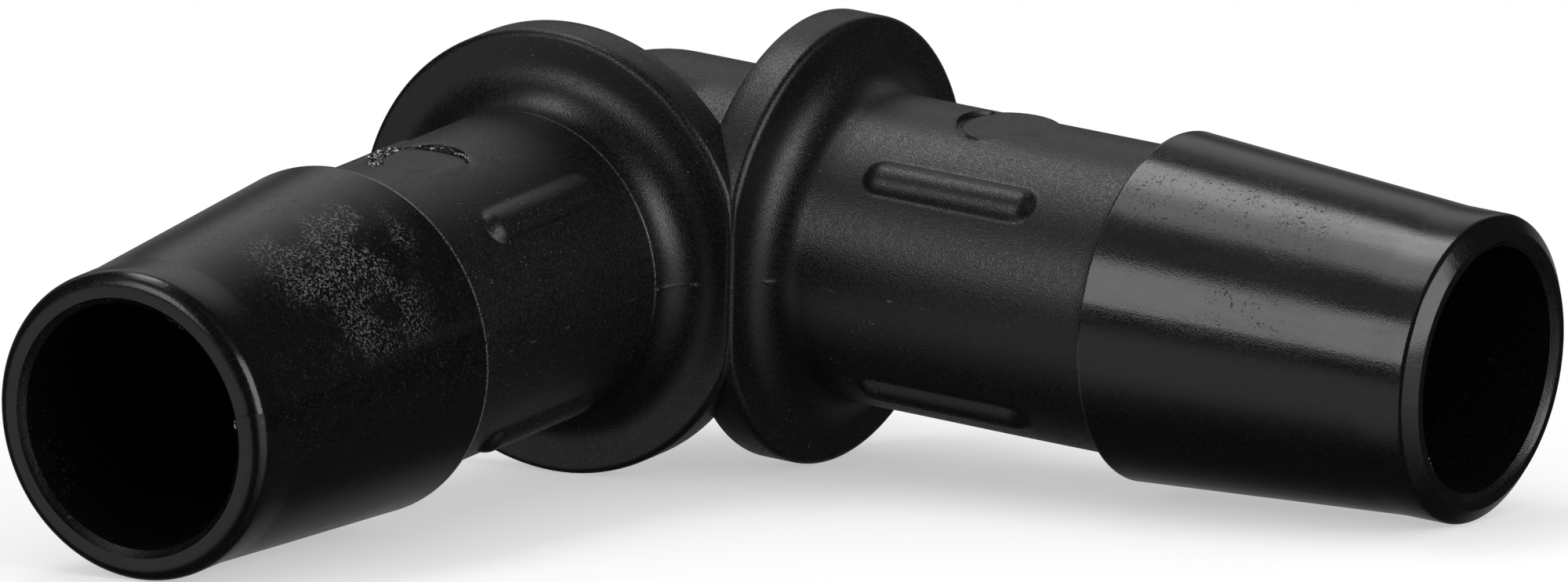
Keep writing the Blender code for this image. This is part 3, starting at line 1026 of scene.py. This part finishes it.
def mirrored_side(n, direction, bearing_deg, half_width, levels):
    """What the plastic mirrors on one side of the room: a brightness for each angle above the horizon."""
    turn = math.radians(bearing_deg)
    level = n.add("ShaderNodeVectorMath", {"operation": "MULTIPLY"}, _0=direction, _1=(1, 1, 0)).outputs[0]
    level = n.add("ShaderNodeVectorMath", {"operation": "NORMALIZE"}, _0=level).outputs[0]
    toward = (math.cos(turn), math.sin(turn), 0)
    near = n.add("ShaderNodeVectorMath", {"operation": "DOT_PRODUCT"}, _0=level, _1=toward).outputs["Value"]
    full, gone = (math.cos(math.radians(half_width * edge)) for edge in MIRRORED_EDGE)
    near = n.ramp(near, gone, full)
    height = n.add("ShaderNodeSeparateXYZ", Vector=direction).outputs["Z"]
    height = n.math("MULTIPLY_ADD", height, 0.5)
    height.node.inputs[2].default_value = 0.5
    ramp = n.add("ShaderNodeValToRGB", Fac=height)
    stops = ramp.color_ramp.elements
    for rise, brightness in levels:
        spot = (math.sin(math.radians(rise)) + 1) / 2
        stop = stops[0] if rise == -90 else stops[-1] if rise == 90 else stops.new(spot)
        stop.color = (brightness, brightness, brightness, 1)
    return near, ramp.outputs["Color"]


def add_world(studio, behind_deg):
    """A white backdrop for the camera, an even fill, and the dim room that the plastic mirrors."""
    world = bpy.data.worlds.new("studio")
    world.use_nodes = True
    bpy.context.scene.world = world
    n = Nodes(world.node_tree)
    shader = world.node_tree.nodes["Background"]
    direction = n.add("ShaderNodeTexCoord").outputs["Generated"]
    seen = 0.0
    for turn, half_width, levels in MIRRORED:
        near, brightness = mirrored_side(n, direction, behind_deg + turn, half_width, levels)
        seen = n.plus(seen, n.times(near, brightness))
    seen = n.math("MAXIMUM", seen, studio.room)
    paths = n.add("ShaderNodeLightPath").outputs
    shown = n.plus(paths["Is Glossy Ray"], paths["Is Transmission Ray"], clamp=True)
    level = n.plus(n.times(shown, seen), n.times(n.minus(1.0, shown), studio.fill))
    level = n.times(level, n.minus(1.0, paths["Is Camera Ray"]))
    strength = n.plus(level, n.times(paths["Is Camera Ray"], studio.backdrop))
    shader.inputs["Color"].default_value = (1, 1, 1, 1)
    world.node_tree.links.new(strength, shader.inputs["Strength"])


def floor_material(studio):
    """A pale matte floor that keeps shadows near the object and fades into the white backdrop."""
    material, n, shader = new_material("pale_floor")
    shader.inputs["Base Color"].default_value = (0.9, 0.9, 0.9, 1)
    shader.inputs["Roughness"].default_value = 0.9
    shader.inputs["Specular IOR Level"].default_value = 0.1
    where = n.add("ShaderNodeTexCoord").outputs["Object"]
    away = n.add("ShaderNodeVectorMath", {"operation": "LENGTH"}, _0=where).outputs["Value"]
    paths = n.add("ShaderNodeLightPath").outputs
    rays = (paths[name] for name in ("Is Camera Ray", "Is Glossy Ray", "Is Transmission Ray"))
    shown = n.plus(*rays, clamp=True)
    fade = n.times(n.ramp(away, *FLOOR_FADE), shown)
    glow = n.add("ShaderNodeEmission", Strength=studio.backdrop)
    mix = n.add("ShaderNodeMixShader", _0=fade, _1=shader.outputs[0], _2=glow.outputs[0])
    out = material.node_tree.nodes["Material Output"]
    material.node_tree.links.new(mix.outputs[0], out.inputs["Surface"])
    return material


def add_floor(studio):
    shape = bmesh.new()
    bmesh.ops.create_grid(shape, x_segments=1, y_segments=1, size=FLOOR_REACH)
    mesh = to_mesh(shape, "floor")
    mesh.materials.append(floor_material(studio))
    floor = add_object("floor", mesh)
    floor.visible_glossy = False


class HOSE_OT_studio(bpy.types.Operator):
    """Adds the pale floor, the soft lamps, the backdrop and the camera"""

    bl_idname = "hose.studio"
    bl_label = "Studio"

    def execute(self, context):
        s = context.scene.hose_elbow
        place = elbow_place(s.sizes, Places(s.sizes))
        camera = add_camera(s.studio, place)
        toward = camera.matrix_world.to_3x3() @ Vector((0, 0, 1))
        behind = math.degrees(math.atan2(-toward.y, -toward.x))
        add_floor(s.studio)
        add_world(s.studio, behind)
        for name, turn, rise, size, aside in SOFTBOXES:
            watts = getattr(s.studio, name)
            add_softbox(name + "_softbox", behind + turn, rise, size, aside, watts)
        context.scene.view_settings.view_transform = "Standard"
        return {"FINISHED"}


class HOSE_PT_panel(bpy.types.Panel):
    """Lists the elbow's pieces, each with the settings that it is built from"""

    bl_idname = "HOSE_PT_panel"
    bl_label = "Hose elbow"
    bl_space_type = "VIEW_3D"
    bl_region_type = "UI"
    bl_category = "Hose elbow"

    def draw(self, context):
        s = context.scene.hose_elbow
        for operator in OPERATORS:
            self.layout.operator(operator.bl_idname)
        for group in (s.sizes, s.finish, s.flash, s.studio):
            column = self.layout.box().column()
            for name in group.bl_rna.properties.keys():
                if name not in ("rna_type", "name"):
                    column.prop(group, name)


GROUPS = (ElbowSizes, ElbowFinish, ElbowFlash, StudioSettings, HoseElbow)
OPERATORS = (HOSE_OT_moulding, HOSE_OT_flash, HOSE_OT_studio)


def register():
    for cls in (*GROUPS, *OPERATORS, HOSE_PT_panel):
        bpy.utils.register_class(cls)
    bpy.types.Scene.hose_elbow = PointerProperty(type=HoseElbow)


def unregister():
    del bpy.types.Scene.hose_elbow
    for cls in reversed((*GROUPS, *OPERATORS, HOSE_PT_panel)):
        bpy.utils.unregister_class(cls)


def main():
    register()
    bpy.ops.hose.moulding()
    bpy.ops.hose.flash()
    bpy.ops.hose.studio()


if __name__ == "__main__":
    main()
